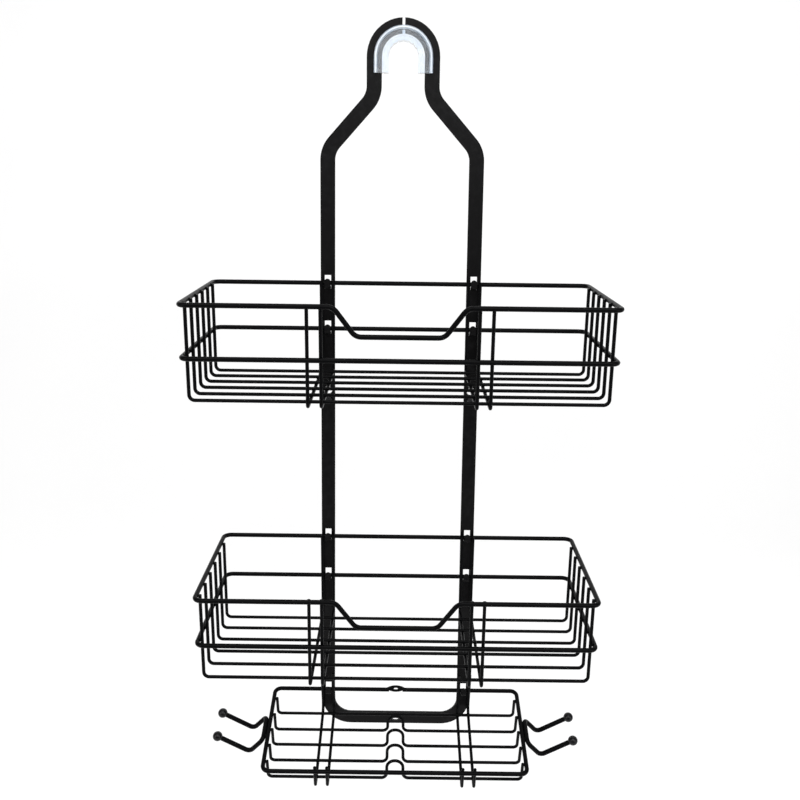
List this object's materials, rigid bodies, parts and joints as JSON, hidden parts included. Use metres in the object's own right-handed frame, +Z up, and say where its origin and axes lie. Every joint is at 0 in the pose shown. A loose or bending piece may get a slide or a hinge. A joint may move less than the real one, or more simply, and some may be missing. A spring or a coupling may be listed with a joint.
{
  "type": "shower caddy",
  "caption": "Hanging shower caddy with a bottle-shaped flat-strip frame, lift-off wire baskets and a sloping soap shelf with side hooks.",
  "frame": {"origin": "the axis of the shower arm, halfway through the saddle's depth, at the centre of the crown's arch", "axes": "+X to the right seen from the front, +Y back towards the wall along the shower arm, +Z up"},
  "size_m": [0.3112, 0.1304, 0.6111],
  "materials": {
    "black_frame": "satin black coated flat steel strip",
    "black_wire": "satin black coated round steel wire",
    "black_fastener": "satin black",
    "black_tip": "gloss",
    "clear_liner": "clear soft plastic, glossy"
  },
  "bodies": {
    "frame": {"upper_rail_left": "black_frame", "upper_rail_right": "black_frame", "lower_frame": "black_frame", "saddle_liner": "clear_liner", "splice_screws": "black_fastener"},
    "upper_basket": {"upper_top_rim": "black_wire", "upper_middle_ring": "black_wire", "upper_floor_wire_1": "black_wire", "upper_floor_wire_2": "black_wire", "upper_floor_wire_3": "black_wire", "upper_floor_wire_4": "black_wire", "upper_floor_wire_5": "black_wire", "upper_floor_wire_6": "black_wire", "upper_cross_wire_1": "black_wire", "upper_cross_wire_2": "black_wire", "upper_cross_wire_3": "black_wire", "upper_cross_wire_4": "black_wire"},
    "lower_basket": {"lower_top_rim": "black_wire", "lower_middle_ring": "black_wire", "lower_floor_wire_1": "black_wire", "lower_floor_wire_2": "black_wire", "lower_floor_wire_3": "black_wire", "lower_floor_wire_4": "black_wire", "lower_floor_wire_5": "black_wire", "lower_floor_wire_6": "black_wire", "lower_cross_wire_1": "black_wire", "lower_cross_wire_2": "black_wire", "lower_cross_wire_3": "black_wire", "lower_cross_wire_4": "black_wire"},
    "soap_shelf": {"shelf_rim": "black_wire", "shelf_floor_wire_1": "black_wire", "shelf_floor_wire_2": "black_wire", "shelf_floor_wire_3": "black_wire", "shelf_floor_wire_4": "black_wire", "shelf_floor_wire_5": "black_wire", "shelf_cross_wire_1": "black_wire", "shelf_cross_wire_2": "black_wire", "shelf_cross_wire_3": "black_wire", "shelf_cross_wire_4": "black_wire", "side_hook_left": "black_wire", "side_hook_right": "black_wire", "hook_balls_left": "black_tip", "hook_balls_right": "black_tip"}
  },
  "joints": [
    {"name": "upper_basket_lift", "type": "slide", "parent": "frame", "child": "upper_basket", "axis": [0, 0, 1], "range_m": [0, 0.012]},
    {"name": "lower_basket_lift", "type": "slide", "parent": "frame", "child": "lower_basket", "axis": [0, 0, 1], "range_m": [0, 0.012]},
    {"name": "soap_shelf_lift", "type": "slide", "parent": "frame", "child": "soap_shelf", "axis": [0, 0, 1], "range_m": [0, 0.012]}
  ]
}
